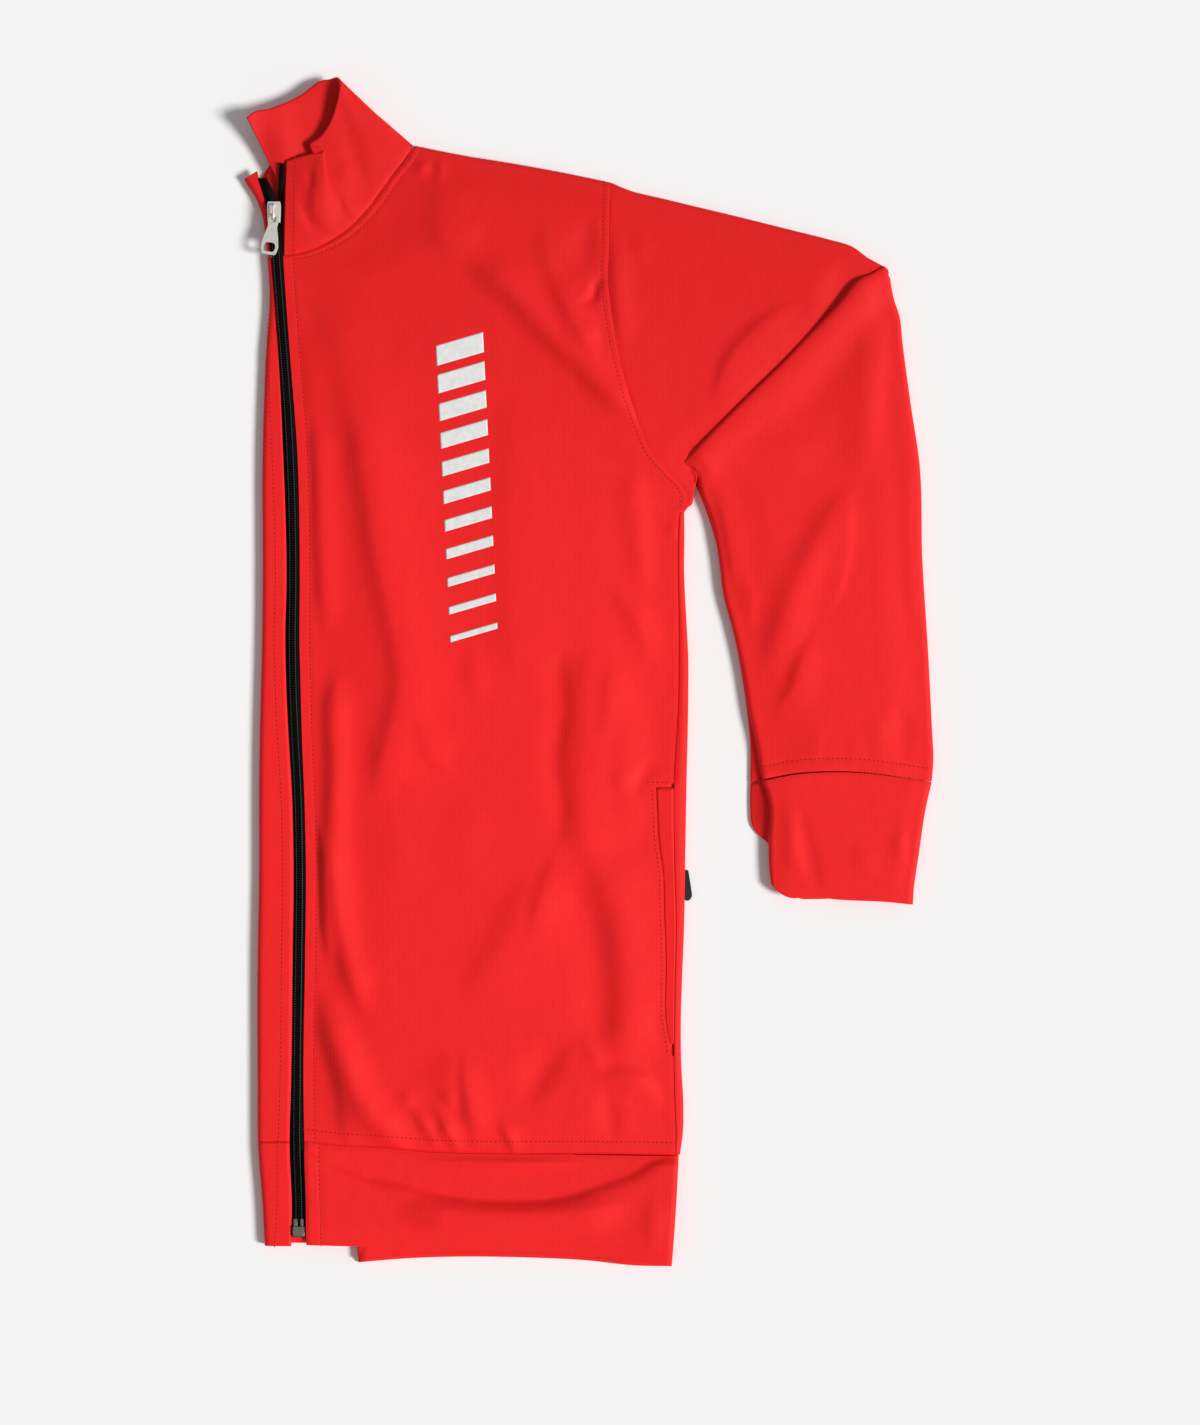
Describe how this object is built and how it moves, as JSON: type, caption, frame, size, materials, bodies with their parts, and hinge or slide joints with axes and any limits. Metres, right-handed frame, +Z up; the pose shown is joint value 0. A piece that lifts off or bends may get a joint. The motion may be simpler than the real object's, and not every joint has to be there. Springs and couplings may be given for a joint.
{
  "type": "sports jacket",
  "caption": "Zip-up sports jacket with a stand collar, hem band and cuffs, folded lengthwise in half and laid flat, with one long bent sleeve on top and a hinged zip pull.",
  "frame": {"origin": "middle of the outline seen from above, on the surface that the jacket lies on", "axes": "+X from the zip and the fold of the fronts towards the sleeves, +Y from the hem towards the collar, +Z up from the surface"},
  "size_m": [0.4482, 0.7731, 0.0268],
  "materials": {
    "red_tricot": "smooth polyester tricot with a soft sheen",
    "zip_nylon": "black nylon coil and woven tape",
    "nickel": "nickel plated, polished",
    "gunmetal": "dark metal",
    "puller_rubber": "matt moulded"
  },
  "bodies": {
    "jacket": {"front_left": "red_tricot", "front_right": "red_tricot", "back_left": "red_tricot", "pocket_facing_left": "red_tricot", "folded_layers": "red_tricot", "waistband_left": "red_tricot", "waistband_right": "red_tricot", "waistband_back": "red_tricot", "sleeve_left": "red_tricot", "sleeve_right": "red_tricot", "cuff_left": "red_tricot", "cuff_right": "red_tricot", "collar": "red_tricot", "collar_right": "red_tricot", "folded_collar": "red_tricot", "zip_tape_left": "zip_nylon", "zip_tape_right": "zip_nylon", "zip_coil": "zip_nylon", "zip_coil_open_left": "zip_nylon", "zip_coil_open_right": "zip_nylon", "zip_box": "gunmetal", "zip_pin_left": "gunmetal", "zip_pin_right": "gunmetal", "zip_slider": "nickel", "pocket_puller": "puller_rubber"},
    "zip_pull": {"zip_pull": "nickel"}
  },
  "joints": [
    {"name": "zip_pull", "type": "hinge", "parent": "jacket", "child": "zip_pull", "pos_m": [-0.20494, 0.2971, 0.01183], "axis": [-0.9882, 0.153, 0], "range_deg": [0, 120]}
  ]
}
